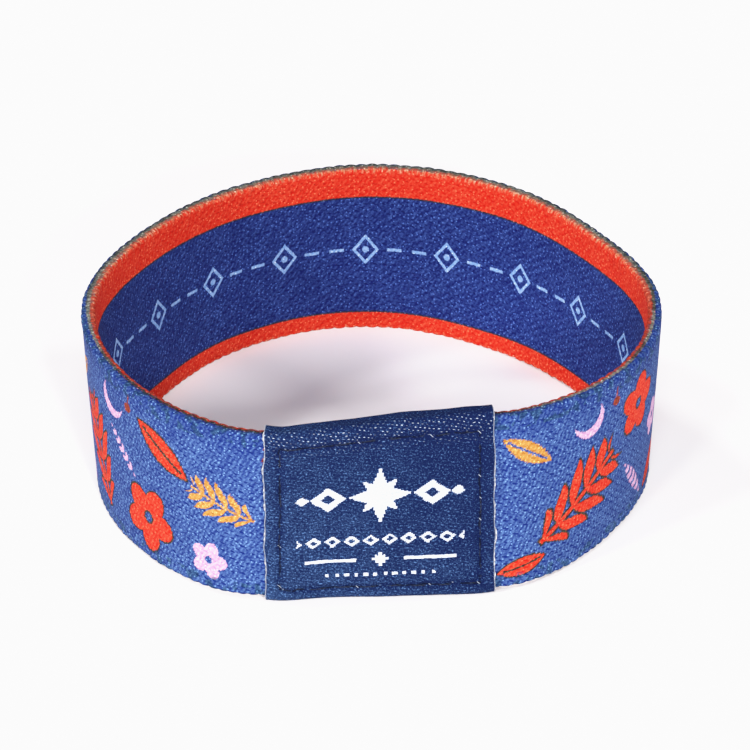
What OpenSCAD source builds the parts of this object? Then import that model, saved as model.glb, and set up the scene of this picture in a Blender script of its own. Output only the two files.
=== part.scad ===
// Fabric wristband: a loop of printed elastic with a woven label wrapped round its seam.
// The loop lies on one edge, the wrist goes through along Z, and the label looks towards -Y.

/* [Elastic band] */
// Length round the outside of the loop, at mid-width
loop_length = 177; // [150:1:210]
// Width of the elastic, which is the height of the loop as it lies
band_width = 19; // [12:0.5:25]
// Thickness of the elastic
band_thick = 1.4; // [1:0.1:2]
// Rounding of the woven edges
edge_round = 0.3; // [0.1:0.05:0.45]

/* [Woven label] */
// Angle of the label's left cut edge, counted from +X
label_start = 249.5; // [245:0.5:255]
// Angle of the label's right cut edge, counted from +X
label_end = 296.2; // [292:0.2:302]
// Thickness of the label's cloth
label_thick = 0.42; // [0.3:0.02:1]
// Gap between the label and the elastic
label_gap = 0.08; // [0.06:0.01:0.2]

/* [Mesh] */
// Sections around the loop
loop_steps = 120; // [60:12:180]
// Sections along the label, less one
label_steps = 18; // [8:1:30]
// Steps around each rounded corner of a section
corner_steps = 3; // [1:1:4]
// Rows of facets up each face, which the turning lean needs
face_rows = 4; // [2:1:6]

/* [Hidden] */

// The loop's plan and twist, a row for each section: the angle from +X, the radius of the
// outside face at mid-width, and how far the wall leans outwards at the top, in degrees.
// The radii are scaled together, so that the outside is loop_length long.
ANGLE = 0;
RADIUS = 1;
LEAN = 2;
SECTIONS = [
    [0, 28.6, 3],
    [30, 26.7, 1.5],
    [60, 27.2, 1.5],
    [90, 28.2, -2],
    [120, 27.2, -1.5],
    [150, 26.4, 3.5],
    [180, 28, 4.5],
    [210, 29.3, 3.5],
    [240, 30.3, 2],
    [250, 29.4, 3.5],
    [262, 27.2, 2],
    [276, 26.2, -2],
    [290, 26.9, -4],
    [302, 28.6, -3],
    [330, 29, 4.5]
];
rows = len(SECTIONS);

// Any whole number counts as a row, because the table goes round and round
function row_angle(i) = SECTIONS[(i + rows) % rows][ANGLE] + 360 * floor(i / rows);
function row_value(i, column) = SECTIONS[(i + rows) % rows][column];
function row_slope(i, column) =
    (row_value(i + 1, column) - row_value(i - 1, column)) / (row_angle(i + 1) - row_angle(i - 1));
function row_before(angle) = max([for (i = [0:rows - 1]) if (SECTIONS[i][ANGLE] <= angle) i]);

// A column's value at any angle, on a cubic from row to row that is smooth where they meet
function smooth(angle, column) =
    let (
        turned = angle - 360 * floor(angle / 360),
        i = row_before(turned),
        span = row_angle(i + 1) - row_angle(i),
        u = (turned - row_angle(i)) / span,
        rise = u * u * (3 - 2 * u),
        bend = (1 - u) * row_slope(i, column) - u * row_slope(i + 1, column)
    )
    row_value(i, column) * (1 - rise) + row_value(i + 1, column) * rise + span * u * (1 - u) * bend;

// The outside face's plan
step_angle = 360 / loop_steps;
loop_angles = [for (i = [0:loop_steps - 1]) i * step_angle];
function drawn_plan(angle) = smooth(angle, RADIUS) * [cos(angle), sin(angle)];
drawn_steps = [for (a = loop_angles) norm(drawn_plan(a + step_angle) - drawn_plan(a))];
drawn_length = drawn_steps * [for (s = drawn_steps) 1];
function plan(angle) = loop_length / drawn_length * drawn_plan(angle);

// The way that the outside face looks, square to the plan
function outward(angle) =
    let (along = plan(angle + 1) - plan(angle - 1))
    [along.y, -along.x] / norm(along);

// The label's lower fold carries the front of the loop, and the back lies on the surface
label_out = label_gap + label_thick;
function lift(angle) = label_out * (1 - sin(angle)) / 2;

// Height of a section's middle, at which its lower edge is that far off the surface
half_thick = band_thick / 2 - edge_round;
half_width = band_width / 2 - edge_round;
function middle_height(angle, lean) =
    lift(angle) + edge_round + half_width * cos(lean) + half_thick * abs(sin(lean));

// The section about its middle, out and up: a rounded rectangle, grown evenly on all sides.
// Each corner has the sides that it is on and the angle at which its arc starts. A face's
// points follow the corner that it starts from, which is the second or the fourth.
CORNERS = [[1, 1, 0], [-1, 1, 90], [-1, -1, 180], [1, -1, 270]];
function corner_points(corner, grow) = [
    for (k = [0:corner_steps])
        let (turn = corner.z + 90 * k / corner_steps)
        [corner.x * half_thick, corner.y * half_width] + (edge_round + grow) * [cos(turn), sin(turn)]
];
function face_points(corner, grow) = [
    if (corner.x != corner.y)
        for (k = [1:face_rows - 1])
            [corner.x * (half_thick + edge_round + grow), corner.y * half_width * (1 - 2 * k / face_rows)]
];
function outline(grow) = [
    for (corner = CORNERS) each concat(corner_points(corner, grow), face_points(corner, grow))
];
outline_points = len(outline(0));

// The section set square to the plan and leant over
function ring(angle, grow) =
    let (
        lean = smooth(angle, LEAN),
        height = middle_height(angle, lean),
        foot = plan(angle),
        out = outward(angle)
    )
    [
        for (p = outline(grow))
            let (away = p.x * cos(lean) + p.y * sin(lean) - band_thick / 2)
            [foot.x + away * out.x, foot.y + away * out.y, height - p.x * sin(lean) + p.y * cos(lean)]
    ];

function quad(a, b, c, d) = [[a, b, c], [a, c, d]];

// Two triangles between each pair of points on ring i and the next ring
function skin(i, next, first = 0) = [
    for (j = [0:outline_points - 1])
        let (k = (j + 1) % outline_points, a = first + i * outline_points, b = first + next * outline_points)
        each quad(a + j, a + k, b + k, b + j)
];

band_points = [for (a = loop_angles) each ring(a, 0)];
label_angles = [for (i = [0:label_steps]) label_start + (label_end - label_start) * i / label_steps];
label_outside = [for (a = label_angles) each ring(a, label_out)];
label_inside = [for (a = label_angles) each ring(a, label_gap)];

// The origin is the middle of the whole object's foot
all_points = concat(band_points, label_outside);
low = [for (k = [0:2]) min([for (p = all_points) p[k]])];
high = [for (k = [0:2]) max([for (p = all_points) p[k]])];
foot_middle = [(low.x + high.x) / 2, (low.y + high.y) / 2, low.z];

module elastic_band() {
    color([0.25, 0.35, 0.66])
        translate(-foot_middle)
            polyhedron(
                points = band_points,
                faces = [for (i = [0:loop_steps - 1]) each skin(i, (i + 1) % loop_steps)]
            );
}

// A sleeve that is open at its two cut edges, where the elastic goes through
module woven_label() {
    inside_first = len(label_outside);
    last_ring = label_steps * outline_points;
    inner_skin = [for (i = [0:label_steps - 1]) each skin(i, i + 1, inside_first)];
    color([0.12, 0.2, 0.42])
        translate(-foot_middle)
            polyhedron(
                points = concat(label_outside, label_inside),
                faces = [
                    for (i = [0:label_steps - 1]) each skin(i, i + 1),
                    for (f = inner_skin) [f[2], f[1], f[0]],
                    for (j = [0:outline_points - 1])
                        let (k = (j + 1) % outline_points)
                        each quad(j, inside_first + j, inside_first + k, k),
                    for (j = [last_ring:last_ring + outline_points - 1])
                        let (k = j + 1 < last_ring + outline_points ? j + 1 : last_ring)
                        each quad(j, k, inside_first + k, inside_first + j)
                ]
            );
}

elastic_band();
woven_label();
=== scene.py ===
"""Fabric wristband: a printed elastic loop that lies on its edge, with a woven label sewn round it."""

import logging
import math
from collections.abc import Callable, Sequence
from dataclasses import dataclass, field
from enum import Enum

import bpy
import numpy as np
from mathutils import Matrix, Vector


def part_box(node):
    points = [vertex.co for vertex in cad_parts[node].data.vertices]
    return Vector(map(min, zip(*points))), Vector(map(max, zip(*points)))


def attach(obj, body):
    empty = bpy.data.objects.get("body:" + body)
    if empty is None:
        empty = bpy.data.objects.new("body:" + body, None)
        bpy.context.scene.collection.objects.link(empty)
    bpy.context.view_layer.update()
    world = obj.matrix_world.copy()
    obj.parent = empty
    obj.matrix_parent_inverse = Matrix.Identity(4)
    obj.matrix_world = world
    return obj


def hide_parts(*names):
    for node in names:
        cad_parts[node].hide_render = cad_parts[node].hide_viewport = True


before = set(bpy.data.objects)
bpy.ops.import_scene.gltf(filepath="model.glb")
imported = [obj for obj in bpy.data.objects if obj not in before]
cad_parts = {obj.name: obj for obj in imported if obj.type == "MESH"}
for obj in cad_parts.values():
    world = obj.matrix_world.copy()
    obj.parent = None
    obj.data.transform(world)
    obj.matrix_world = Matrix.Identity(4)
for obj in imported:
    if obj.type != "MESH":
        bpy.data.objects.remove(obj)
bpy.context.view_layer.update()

log = logging.getLogger("wristband")

MM = 0.001
UV_MM = 100.0
BODY = "root"

Number = np.ndarray | float
Colour = tuple[float, float, float, float]


def linear(red: int, green: int, blue: int) -> Colour:
    """A screen colour of 0 to 255 a channel as a linear colour with alpha."""
    shares = [channel / 255 for channel in (red, green, blue)]
    light = [c / 12.92 if c <= 0.04045 else ((c + 0.055) / 1.055) ** 2.4 for c in shares]
    return (*light, 1.0)


# Meshes from grids of points


@dataclass
class GridMesh:
    """Collects grids of points into one mesh, with a UV map whose unit is 100 mm of cloth.

    A grid's point (i, j) is a function of two parameters. Each cell becomes one quad, and a grid
    that closes on itself gets the cells between its last and first row or column too.
    """

    name: str
    points: list[np.ndarray] = field(default_factory=list)
    faces: list[np.ndarray] = field(default_factory=list)
    corners: list[np.ndarray] = field(default_factory=list)

    def add(self, points: np.ndarray, uv: np.ndarray, wrap_rows: bool, wrap_columns: bool) -> None:
        """Adds one grid.

        Args:
            points: rows by columns by 3, in mm.
            uv: cloth coordinates in mm, with one more row or column than points where it wraps.
            wrap_rows: the last row joins the first.
            wrap_columns: the last column joins the first.
        """
        rows, columns = points.shape[:2]
        i = np.arange(rows if wrap_rows else rows - 1)[:, None]
        j = np.arange(columns if wrap_columns else columns - 1)[None]
        first = sum(len(p) for p in self.points)

        def at(a: np.ndarray, b: np.ndarray) -> np.ndarray:
            """The numbers of the points at rows a and columns b."""
            return first + (a % rows) * columns + b % columns

        quads = np.stack([at(i, j), at(i + 1, j), at(i + 1, j + 1), at(i, j + 1)], -1)
        spots = np.stack([uv[i, j], uv[i + 1, j], uv[i + 1, j + 1], uv[i, j + 1]], axis=-2)
        self.points.append(points.reshape(-1, 3))
        self.faces.append(quads.reshape(-1, 4))
        self.corners.append(spots.reshape(-1, 2))

    def build(self) -> bpy.types.Object:
        """Makes the object, smooth and in metres, and puts it into the scene."""
        points = np.concatenate(self.points) * MM
        faces = np.concatenate(self.faces).astype(np.int32)
        uv = np.concatenate(self.corners) / UV_MM
        mesh = bpy.data.meshes.new(self.name)
        mesh.vertices.add(len(points))
        mesh.vertices.foreach_set("co", points.astype(np.float32).ravel())
        mesh.loops.add(faces.size)
        mesh.loops.foreach_set("vertex_index", faces.ravel())
        mesh.polygons.add(len(faces))
        mesh.polygons.foreach_set("loop_start", np.arange(len(faces), dtype=np.int32) * 4)
        mesh.polygons.foreach_set("use_smooth", np.ones(len(faces), bool))
        mesh.uv_layers.new(name="cloth").uv.foreach_set("vector", uv.astype(np.float32).ravel())
        mesh.update(calc_edges=True)
        mesh.validate()
        made = bpy.data.objects.new(self.name, mesh)
        bpy.context.scene.collection.objects.link(made)
        return made


def eased(x: np.ndarray) -> np.ndarray:
    """A step from 0 to 1 that starts and ends level: 3 times the square less twice the cube."""
    return x * x * (3 - 2 * x)


def value_noise(across: np.ndarray, seed: int, period: int) -> np.ndarray:
    """Smooth noise from -1 to 1 that repeats: random values at whole numbers, eased in between.

    Args:
        across: where to read it, one unit a value.
        seed: picks the values.
        period: how many values before it repeats.

    Returns:
        The noise, in the shape of across.
    """
    values = np.random.default_rng(seed).uniform(-1, 1, period)
    low = np.floor(across).astype(int)
    ease = eased(across - low)
    return values[low % period] * (1 - ease) + values[(low + 1) % period] * ease


def bump_at(x: np.ndarray, middle: float, half_width: float) -> np.ndarray:
    """A smooth hump of height 1 at middle that ends half_width away: the square of 1 minus x squared."""
    away = np.clip(np.abs(x - middle) / half_width, 0, 1)
    return (1 - away**2) ** 2


# The loop's form, which the band, the label and the stitches share


@dataclass(frozen=True)
class Section:
    """A row of the loop's table.

    Args:
        angle: degrees from +X.
        radius: of the outside face at mid-width, mm, before all are scaled to the loop's length.
        lean: how far the wall leans outwards at the top, in degrees.
    """

    angle: float
    radius: float
    lean: float


SECTIONS = (
    Section(0, 28.6, 3),
    Section(30, 26.7, 1.5),
    Section(60, 27.2, 1.5),
    Section(90, 28.2, -2),
    Section(120, 27.2, -1.5),
    Section(150, 26.4, 3.5),
    Section(180, 28, 4.5),
    Section(210, 29.3, 3.5),
    Section(240, 30.3, 2),
    Section(250, 29.4, 3.5),
    Section(262, 27.2, 2),
    Section(276, 26.2, -2),
    Section(290, 26.9, -4),
    Section(302, 28.6, -3),
    Section(330, 29, 4.5),
)


@dataclass
class LoopForm:
    """The elastic's route and section, as the part's source has them, in mm.

    A place on the cloth is a station along the outside at mid-width, counted from the middle of
    the label towards +X, and a point of the section, out and up from the wall's middle.

    Args:
        loop_length: round the outside at mid-width.
        band_width: height of the wall.
        band_thick: thickness of the elastic.
        edge_round: rounding of its edges.
        label_out: how far the label's outside stands off the elastic.
        label_start: angle of the label's left cut edge, in degrees from +X.
        label_end: angle of its right cut edge.
        loop_steps: the source's sections, on which the length is measured.
        fine_steps: steps of the table from angle to station.
        box_steps: steps around the loop that find its box.
    """

    loop_length: float = 177.0
    band_width: float = 19.0
    band_thick: float = 1.4
    edge_round: float = 0.3
    label_out: float = 0.5
    label_start: float = 249.5
    label_end: float = 296.2
    loop_steps: int = 120
    fine_steps: int = 3600
    box_steps: int = 720
    scale: float = field(init=False, default=1.0)
    shift: np.ndarray = field(init=False)
    half_thick: float = field(init=False)
    half_width: float = field(init=False)
    girth: float = field(init=False)
    first: float = field(init=False)
    label_half: float = field(init=False)
    fine_angles: np.ndarray = field(init=False)
    fine_lengths: np.ndarray = field(init=False)

    def __post_init__(self) -> None:
        """Scales the plan to the loop's length, measures it, and centres it on the CAD's box."""
        self.half_thick = self.band_thick / 2 - self.edge_round
        self.half_width = self.band_width / 2 - self.edge_round
        drawn = self.plan(np.linspace(0, 360, self.loop_steps + 1))
        self.scale = self.loop_length / np.linalg.norm(np.diff(drawn, axis=0), axis=1).sum()
        self.fine_angles = np.linspace(0, 360, self.fine_steps + 1)
        steps = np.linalg.norm(np.diff(self.plan(self.fine_angles), axis=0), axis=1)
        self.fine_lengths = np.concatenate([[0], np.cumsum(steps)])
        self.girth = self.fine_lengths[-1]
        start, end = np.interp([self.label_start, self.label_end], self.fine_angles, self.fine_lengths)
        self.first = (start + end) / 2
        self.label_half = (end - start) / 2
        self.shift = np.zeros(3)
        rings = self.place(
            np.linspace(0, self.girth, self.box_steps + 1)[:, None],
            np.array([[1, 1, -1, -1]]) * self.band_thick / 2,
            np.array([[1, -1, 1, -1]]) * self.band_width / 2,
        ).reshape(-1, 3)
        low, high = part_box("elastic_band")
        middle = (np.array(low) + np.array(high)) / 2 / MM
        self.shift = middle - (rings.min(0) + rings.max(0)) / 2

    def smooth(self, angle: np.ndarray, column: str) -> np.ndarray:
        """A column of the table at any angle: cubic Hermite from row to row, each slope from the two
        rows beside it.

        Args:
            angle: degrees from +X.
            column: radius or lean.

        Returns:
            The column's values.
        """
        row_angles = np.array([s.angle for s in SECTIONS], float)
        row_values = np.array([getattr(s, column) for s in SECTIONS], float)
        count = len(SECTIONS)
        wide_angles = np.concatenate([row_angles[-2:] - 360, row_angles, row_angles[:3] + 360])
        wide_values = np.concatenate([row_values[-2:], row_values, row_values[:3]])
        slopes = (wide_values[2:] - wide_values[:-2]) / (wide_angles[2:] - wide_angles[:-2])
        turned = np.mod(angle, 360)
        i = np.clip(np.searchsorted(row_angles, turned, side="right") - 1, 0, count - 1)
        span = wide_angles[i + 3] - wide_angles[i + 2]
        u = (turned - wide_angles[i + 2]) / span
        rise = eased(u)
        bend = (1 - u) * slopes[i + 1] - u * slopes[i + 2]
        return wide_values[i + 2] * (1 - rise) + wide_values[i + 3] * rise + span * u * (1 - u) * bend

    def plan(self, angle: np.ndarray) -> np.ndarray:
        """The outside face's plan: the scaled radius along each angle."""
        turn = np.radians(angle)
        reach = self.scale * self.smooth(angle, "radius")
        return np.stack([reach * np.cos(turn), reach * np.sin(turn)], -1)

    def outward(self, angle: np.ndarray) -> np.ndarray:
        """The way that the outside face looks: square to the chord from 1 degree before to 1 after."""
        along = self.plan(angle + 1) - self.plan(angle - 1)
        along /= np.linalg.norm(along, axis=-1, keepdims=True)
        return np.stack([along[..., 1], -along[..., 0]], -1)

    def angle_at(self, station: np.ndarray) -> np.ndarray:
        """The plan's angle at a station along the loop."""
        along = np.mod(station + self.first, self.girth)
        return np.interp(along, self.fine_lengths, self.fine_angles)

    def place(self, station: np.ndarray, out: np.ndarray, up: np.ndarray) -> np.ndarray:
        """Points in the row frame, in mm, none of them under the floor.

        The section is set square to the plan and turned by the lean. Its middle is as high as
        stands its lower edge on the lift, which falls from the label's cloth at the front to
        nothing at the back.

        Args:
            station: along the loop.
            out: from the wall's middle towards the outside face.
            up: from mid-width towards the upper edge.

        Returns:
            The arguments' common shape by 3.
        """
        station, out, up = np.broadcast_arrays(station, out, up)
        angle = self.angle_at(station)
        lean = np.radians(self.smooth(angle, "lean"))
        lift = self.label_out * (1 - np.sin(np.radians(angle))) / 2
        height = (
            lift
            + self.edge_round
            + self.half_width * np.cos(lean)
            + self.half_thick * np.abs(np.sin(lean))
        )
        away = out * np.cos(lean) + up * np.sin(lean) - self.band_thick / 2
        flat = self.plan(angle) + away[..., None] * self.outward(angle)
        level = height - out * np.sin(lean) + up * np.cos(lean)
        points = np.concatenate([flat, level[..., None]], -1) + self.shift
        points[..., 2] = np.maximum(points[..., 2], 0.0)
        return points


@dataclass(frozen=True)
class Outline:
    """A rounded rectangle run round from the middle of its lower edge, up the outside face,
    over the upper edge and down the inside face. A place on it is its girth, in mm.

    Args:
        half_thick: half of the way from face to face, less the corner, mm.
        half_width: half of the way from edge to edge, less the corner, mm.
        corner: radius of the corners, mm.
    """

    half_thick: float
    half_width: float
    corner: float

    @property
    def quarter(self) -> float:
        """Length of a corner's arc."""
        return self.corner * math.pi / 2

    @property
    def top(self) -> float:
        """Girth at the middle of the upper edge, which is half of the way round."""
        return 2 * (self.half_thick + self.quarter + self.half_width)

    @property
    def total(self) -> float:
        """The whole way round."""
        return 2 * self.top

    def at(self, girth: np.ndarray) -> tuple[np.ndarray, np.ndarray, np.ndarray, np.ndarray]:
        """Point and normal at a girth.

        The first half of the way is worked out and the second mirrored. Over a corner the angle
        grows evenly, and elsewhere it stays, so the point is the sum of straight runs and arcs.

        Args:
            girth: distance round, any size.

        Returns:
            out, up, and the normal's out and up.
        """
        round_ = np.mod(girth, self.total)
        inside = round_ > self.top
        half = np.where(inside, self.total - round_, round_)
        first_corner = self.half_thick
        face = first_corner + self.quarter
        second_corner = face + 2 * self.half_width
        turned = (
            np.clip(half - first_corner, 0, self.quarter) + np.clip(half - second_corner, 0, self.quarter)
        ) / self.corner
        away = np.minimum(half, self.half_thick) - np.clip(
            half - second_corner - self.quarter, 0, self.half_thick
        )
        climb = np.clip(half - face, 0, 2 * self.half_width) - self.half_width
        normal_out, normal_up = np.sin(turned), -np.cos(turned)
        side = np.where(inside, -1.0, 1.0)
        out = side * (away + self.corner * normal_out)
        up = climb + self.corner * normal_up
        return out, up, side * normal_out, normal_up


# Shader expressions


def operator(operation: str, doc: str, reflected: bool = False) -> Callable[..., "Value"]:
    """Makes a method of Value that puts the value and others through a Math node.

    Args:
        operation: the node's operation.
        doc: the method's docstring.
        reflected: the value comes after the others.

    Returns:
        The method.
    """

    def method(self: "Value", *others: "Value | float") -> "Value":
        """Adds the node."""
        inputs = (*others, self) if reflected else (self, *others)
        return self.nodes.add("Math", {"operation": operation}, inputs)

    method.__doc__ = doc
    return method


class Value:
    """A number or vector that varies over a surface, as the output socket of a node."""

    __add__ = __radd__ = operator("ADD", "Sum.")
    __sub__ = operator("SUBTRACT", "Difference.")
    __rsub__ = operator("SUBTRACT", "A number less this value.", reflected=True)
    __mul__ = __rmul__ = operator("MULTIPLY", "Product.")
    __truediv__ = operator("DIVIDE", "Quotient.")
    __rtruediv__ = operator("DIVIDE", "A number over this value.", reflected=True)
    __pow__ = operator("POWER", "Power.")
    __mod__ = operator("FLOORED_MODULO", "Remainder, never negative.")
    __abs__ = operator("ABSOLUTE", "Size without its sign.")
    __gt__ = operator("GREATER_THAN", "1 where it is greater, else 0.")
    __lt__ = operator("LESS_THAN", "1 where it is less, else 0.")
    floor = operator("FLOOR", "Whole part.")
    part = operator("FRACT", "What is over the whole part.")
    sine = operator("SINE", "Sine of an angle in radians.")
    least = operator("MINIMUM", "The smaller of two.")
    most = operator("MAXIMUM", "The greater of two.")
    angle_with = operator("ARCTAN2", "Angle of the point with this height and the other's breadth.")

    def __init__(self, nodes: "Nodes", socket: bpy.types.NodeSocket) -> None:
        """Wraps a socket of one material's nodes."""
        self.nodes = nodes
        self.socket = socket

    def ramp(self, start: float, end: float) -> "Value":
        """0 up to start and 1 from end on, eased in between; start may be the greater."""
        settings = {"interpolation_type": "SMOOTHSTEP", "clamp": True}
        if start < end:
            return self.nodes.add("MapRange", settings, [self, start, end, 0.0, 1.0])
        return self.nodes.add("MapRange", settings, [self, end, start, 1.0, 0.0])

    def within(self, reach: float, soft: float) -> "Value":
        """1 where the value is under reach, falling to 0 over a soft margin."""
        return self.ramp(reach + soft / 2, reach - soft / 2)


Input = Value | float | Sequence[float]


@dataclass(frozen=True)
class Ink:
    """A printed or woven colour, as it looks in the gaps between the floats and on top of them."""

    deep: Input
    bright: Input


class Nodes:
    """The nodes of one material, with a Principled shader as its surface."""

    def __init__(self, name: str, roughness: float, specular: float) -> None:
        """Starts a material.

        Args:
            name: the material's name.
            roughness: of the whole surface.
            specular: the specular level, 0.5 for plastic.
        """
        self.material = bpy.data.materials.new(name)
        self.material.use_nodes = True
        self.tree = self.material.node_tree
        self.tree.nodes.clear()
        self.shader = self.tree.nodes.new("ShaderNodeBsdfPrincipled")
        self.shader.inputs["Roughness"].default_value = roughness
        self.shader.inputs["Specular IOR Level"].default_value = specular
        self.end = self.tree.nodes.new("ShaderNodeOutputMaterial")
        self.tree.links.new(self.shader.outputs[0], self.end.inputs["Surface"])

    def add(
        self,
        kind: str,
        settings: dict[str, object] | None = None,
        values: Sequence[Input] | dict[str | int, Input] = (),
        output: str | int = 0,
    ) -> Value:
        """Adds a node.

        Args:
            kind: the type's name without ShaderNode.
            settings: the node's own properties, set first.
            values: its inputs in order, or by name or number: numbers, colours or other values.
            output: which output to return.

        Returns:
            That output.
        """
        node = self.tree.nodes.new("ShaderNode" + kind)
        for name, setting in (settings or {}).items():
            setattr(node, name, setting)
        pairs = values.items() if isinstance(values, dict) else enumerate(values)
        for name, value in pairs:
            if isinstance(value, Value):
                self.tree.links.new(value.socket, node.inputs[name])
            else:
                node.inputs[name].default_value = value
        return Value(self, node.outputs[output])

    def cloth(self) -> tuple[Value, Value]:
        """The cloth's own coordinates in mm, from the piece's UV map."""
        place = self.add("UVMap", {"uv_map": "cloth"})
        scaled = self.add("VectorMath", {"operation": "SCALE"}, {0: place, "Scale": UV_MM})
        return self.split(scaled)

    def split(self, vector: Value) -> tuple[Value, Value]:
        """A vector's first two numbers."""
        along = self.add("SeparateXYZ", None, [vector])
        return along, Value(self, along.socket.node.outputs[1])

    def join(self, x: Input, y: Input, z: Input = 0.0) -> Value:
        """A vector of three numbers."""
        return self.add("CombineXYZ", None, [x, y, z])

    def length(self, x: Input, y: Input) -> Value:
        """Distance of a point from the origin."""
        return self.add("VectorMath", {"operation": "LENGTH"}, [self.join(x, y)], output=1)

    def noise(self, place: Value, scale: float, detail: float = 2.0, rough: float = 0.5) -> Value:
        """Soft noise from 0 to 1 about 0.5, at so many features a mm."""
        return self.add(
            "TexNoise",
            {"noise_dimensions": "2D"},
            {"Vector": place, "Scale": scale, "Detail": detail, "Roughness": rough},
        )

    def dice(self, place: Value) -> Value:
        """A random number from 0 to 1 for each whole place."""
        return self.add("TexWhiteNoise", {"noise_dimensions": "2D"}, {"Vector": place})

    def specks(self, place: Value, per_mm: float, reach: float, share: float) -> Value:
        """Scattered dots: the nearest of random points, where its own random colour passes.

        Args:
            place: in mm.
            per_mm: points along each mm.
            reach: radius of a dot, mm.
            share: how many of the points have a dot.

        Returns:
            1 on the dots.
        """
        nearest = self.add("TexVoronoi", {"voronoi_dimensions": "2D"}, {"Vector": place, "Scale": per_mm})
        luck, _ = self.split(Value(self, nearest.socket.node.outputs["Color"]))
        return nearest.within(reach * per_mm, reach * per_mm * 0.8) * (luck < share)

    def blend(self, share: Input, first: Input, second: Input, how: str = "MIX") -> Value:
        """Two colours mixed by a share, the second over the first."""
        settings = {"data_type": "RGBA", "blend_type": how, "clamp_factor": True}
        return self.add("Mix", settings, {"Factor": share, 6: first, 7: second}, output=2)

    def over(self, share: Input, first: Ink, second: Ink) -> Ink:
        """Two inks mixed by a share, the second over the first."""
        deep = self.blend(share, first.deep, second.deep)
        return Ink(deep, self.blend(share, first.bright, second.bright))

    def lit(self, tone: Value, ink: Ink) -> Value:
        """An ink at a tone: the gaps' colour up to 0 and the floats' at 1, eased from below."""
        return self.blend(tone.most(0.0) ** 2.0, ink.deep, ink.bright)

    def choose(self, share: Input, first: Value, second: Value) -> Value:
        """Two vectors mixed by a share."""
        settings = {"data_type": "VECTOR", "clamp_factor": True}
        return self.add("Mix", settings, {"Factor": share, 4: first, 5: second}, output=1)

    def hide_behind(self) -> None:
        """Makes the surface clear from behind."""
        behind = self.add("NewGeometry", output="Backfacing")
        clear = self.tree.nodes.new("ShaderNodeBsdfTransparent")
        mixed = self.tree.nodes.new("ShaderNodeMixShader")
        self.tree.links.new(behind.socket, mixed.inputs[0])
        self.tree.links.new(self.shader.outputs[0], mixed.inputs[1])
        self.tree.links.new(clear.outputs[0], mixed.inputs[2])
        self.tree.links.new(mixed.outputs[0], self.end.inputs["Surface"])

    def finish(self, colour: Value, paint: Input, height: Value, depth_mm: float) -> bpy.types.Material:
        """Connects the colour and the relief.

        Args:
            colour: the base colour.
            paint: how much of it is left, under lamps that whiten the floor.
            height: relief from 0 to 1.
            depth_mm: how deep a height of 1 is.

        Returns:
            The material.
        """
        shown = self.add("VectorMath", {"operation": "SCALE"}, {0: colour, "Scale": paint})
        bump = self.add("Bump", None, {"Distance": depth_mm * MM, "Height": height})
        self.tree.links.new(shown.socket, self.shader.inputs["Base Color"])
        self.tree.links.new(bump.socket, self.shader.inputs["Normal"])
        return self.material


# Cloth finishes


BLUE = Ink(linear(12, 34, 106), linear(110, 148, 206))
RED = Ink(linear(196, 22, 8), linear(252, 106, 72))
PINK = Ink(linear(196, 140, 186), linear(250, 222, 240))
MUSTARD = Ink(linear(170, 108, 40), linear(244, 190, 112))
OLIVE = Ink(linear(30, 32, 30), linear(92, 80, 58))
RUST = Ink(linear(104, 36, 26), linear(184, 84, 56))
NAVY = Ink(linear(4, 16, 84), linear(74, 104, 180))
PALE = Ink(linear(110, 150, 214), linear(200, 220, 252))
SLATE = Ink(linear(8, 16, 26), linear(92, 114, 122))
ASH = Ink(linear(96, 98, 92), linear(204, 196, 180))
TEAL = Ink(linear(14, 42, 74), linear(78, 122, 150))
BROWN = Ink(linear(22, 24, 22), linear(90, 82, 60))
TAN = Ink(linear(96, 76, 62), linear(186, 158, 134))
CREAM = Ink(linear(196, 110, 72), linear(252, 220, 190))
LABEL = Ink(linear(3, 18, 60), linear(90, 128, 182))
WHITE = Ink(linear(150, 166, 206), linear(232, 236, 248))


@dataclass(frozen=True)
class Threads:
    """A weave's threads at a place.

    Args:
        ridge: 1 on the middle of a strand and 0 between two.
        pit: 1 in the gaps between the threads.
        chance: each strand's random number.
        fibre: the strands' fine fibres, about 0.5.
    """

    ridge: Value
    pit: Value
    chance: Value
    fibre: Value


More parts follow.
